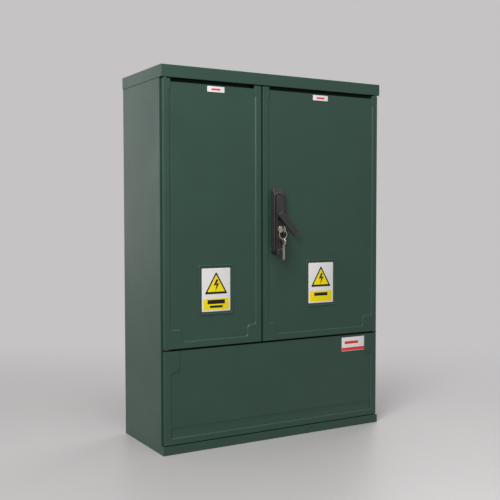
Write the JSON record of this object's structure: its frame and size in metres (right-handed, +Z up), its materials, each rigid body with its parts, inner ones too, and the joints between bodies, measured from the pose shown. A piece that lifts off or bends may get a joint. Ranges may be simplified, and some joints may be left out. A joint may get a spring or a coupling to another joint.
{
  "type": "electricity meter and service cabinet",
  "caption": "Free-standing cabinet with two overlay doors, lever lock, removable lower panel and electrical gear inside.",
  "frame": {"origin": "middle of the base frame's underside, on the ground", "axes": "+Z up, the doors face -Y, +X to the right when facing the doors"},
  "size_m": [0.66, 0.288, 0.951],
  "materials": {
    "green_grp": "moulded glass-fibre polyester, dark green, satin with a fine mottle",
    "grey_grp": "moulded glass-fibre polyester, light grey",
    "zinc_steel": "zinc-plated steel, dull",
    "rubber": "black foam rubber",
    "black_plastic": "black moulded nylon, satin",
    "nickel": "nickel-plated brass, lightly worn",
    "label_white": "printed adhesive plate, white ground with plain coloured bars",
    "brass": "plain brass",
    "insulator_resin": "moulded insulator resin, red-brown",
    "ceramic": "glazed ceramic fuse bodies",
    "pale_plastic": "pale grey moulded plastic",
    "clear_window": "clear polycarbonate",
    "display_glass": "dull green-grey display"
  },
  "bodies": {
    "cabinet": {"base_frame": "green_grp", "side_wall_left": "green_grp", "side_wall_right": "green_grp", "rear_wall": "green_grp", "assembly_screws": "zinc_steel", "roof": "green_grp", "top_rail": "green_grp", "door_sill": "green_grp", "lower_hinge_tabs": "zinc_steel", "left_hinge_pins": "zinc_steel", "right_hinge_pins": "zinc_steel", "panel_clips": "black_plastic", "partition": "grey_grp", "compartment_floor": "grey_grp", "cable_grommets": "rubber", "left_mounting_board": "grey_grp", "meter_board": "grey_grp", "fuse_switch_base": "black_plastic", "fuse_contacts": "nickel", "neutral_bar": "brass", "bar_insulators": "insulator_resin", "meter_case": "pale_plastic", "meter_terminal_cover": "pale_plastic", "meter_window": "clear_window", "meter_display": "display_glass", "isolator_body": "pale_plastic", "din_rail": "zinc_steel", "cable_rail": "zinc_steel", "cable_clamps": "black_plastic", "earth_bar": "brass"},
    "left_door": {"left_door": "green_grp", "left_warning_plate": "label_white", "left_sticker": "label_white", "left_seal": "rubber", "bolt_guides": "zinc_steel"},
    "right_door": {"right_door": "green_grp", "right_warning_plate": "label_white", "right_sticker": "label_white", "right_seal": "rubber", "handle_housing": "black_plastic", "handle_insert": "black_plastic", "handle_screws": "zinc_steel", "rod_guides": "zinc_steel", "lock_cylinder": "nickel"},
    "lever": {"handle_lever": "black_plastic", "handle_spindle": "zinc_steel", "cam_plate": "zinc_steel"},
    "upper_rod": {"upper_lock_rod": "zinc_steel"},
    "lower_rod": {"lower_lock_rod": "zinc_steel"},
    "key": {"lock_plug": "nickel", "key": "nickel"},
    "key_ring": {"key_ring": "nickel", "spare_keys": "nickel"},
    "upper_bolt": {"upper_flush_bolt": "zinc_steel"},
    "lower_bolt": {"lower_flush_bolt": "zinc_steel"},
    "lower_panel": {"lower_panel": "green_grp", "panel_sticker": "label_white"},
    "fuse_lid": {"fuse_switch_lid": "black_plastic", "fuse_links": "ceramic"},
    "isolator_toggle": {"isolator_toggle": "black_plastic"}
  },
  "joints": [
    {"name": "left_door_hinge", "type": "hinge", "parent": "cabinet", "child": "left_door", "pos_m": [-0.3175, -0.1185, 0.588], "axis": [0, 0, -1], "range_deg": [0, 110]},
    {"name": "right_door_hinge", "type": "hinge", "parent": "cabinet", "child": "right_door", "pos_m": [0.3175, -0.1185, 0.588], "axis": [0, 0, 1], "range_deg": [0, 110]},
    {"name": "lever_turn", "type": "hinge", "parent": "right_door", "child": "lever", "pos_m": [-0.0045, -0.14, 0.586], "axis": [0, -1, 0], "range_deg": [-20, 48]},
    {"name": "upper_rod_slide", "type": "slide", "parent": "right_door", "child": "upper_rod", "axis": [0, 0, -1], "range_m": [-0.00645, 0.01549]},
    {"name": "lower_rod_slide", "type": "slide", "parent": "right_door", "child": "lower_rod", "axis": [0, 0, 1], "range_m": [-0.0068, 0.0158]},
    {"name": "key_turn", "type": "hinge", "parent": "right_door", "child": "key", "pos_m": [-0.0045, -0.143, 0.548], "axis": [0, 1, 0], "range_deg": [0, 90]},
    {"name": "ring_swing", "type": "hinge", "parent": "key", "child": "key_ring", "pos_m": [-0.0045, -0.153, 0.548], "axis": [1, 0, 0], "range_deg": [-40, 0]},
    {"name": "upper_bolt_slide", "type": "slide", "parent": "left_door", "child": "upper_bolt", "axis": [0, 0, 1], "range_m": [0, 0.012]},
    {"name": "lower_bolt_slide", "type": "slide", "parent": "left_door", "child": "lower_bolt", "axis": [0, 0, -1], "range_m": [0, 0.012]},
    {"name": "panel_pull", "type": "slide", "parent": "cabinet", "child": "lower_panel", "axis": [0, -1, 0], "range_m": [0, 0.12]},
    {"name": "fuse_lid_hinge", "type": "hinge", "parent": "cabinet", "child": "fuse_lid", "pos_m": [-0.18675, 0.0425, 0.512], "axis": [1, 0, 0], "range_deg": [0, 90]},
    {"name": "toggle_throw", "type": "hinge", "parent": "cabinet", "child": "isolator_toggle", "pos_m": [0.13775, 0.043, 0.405], "axis": [1, 0, 0], "range_deg": [0, 70]}
  ],
  "couplings": [
    {"joint": "lever_turn", "follows": "upper_rod_slide", "rad_per_m": 54.054},
    {"joint": "lower_rod_slide", "follows": "upper_rod_slide", "ratio": 1}
  ]
}
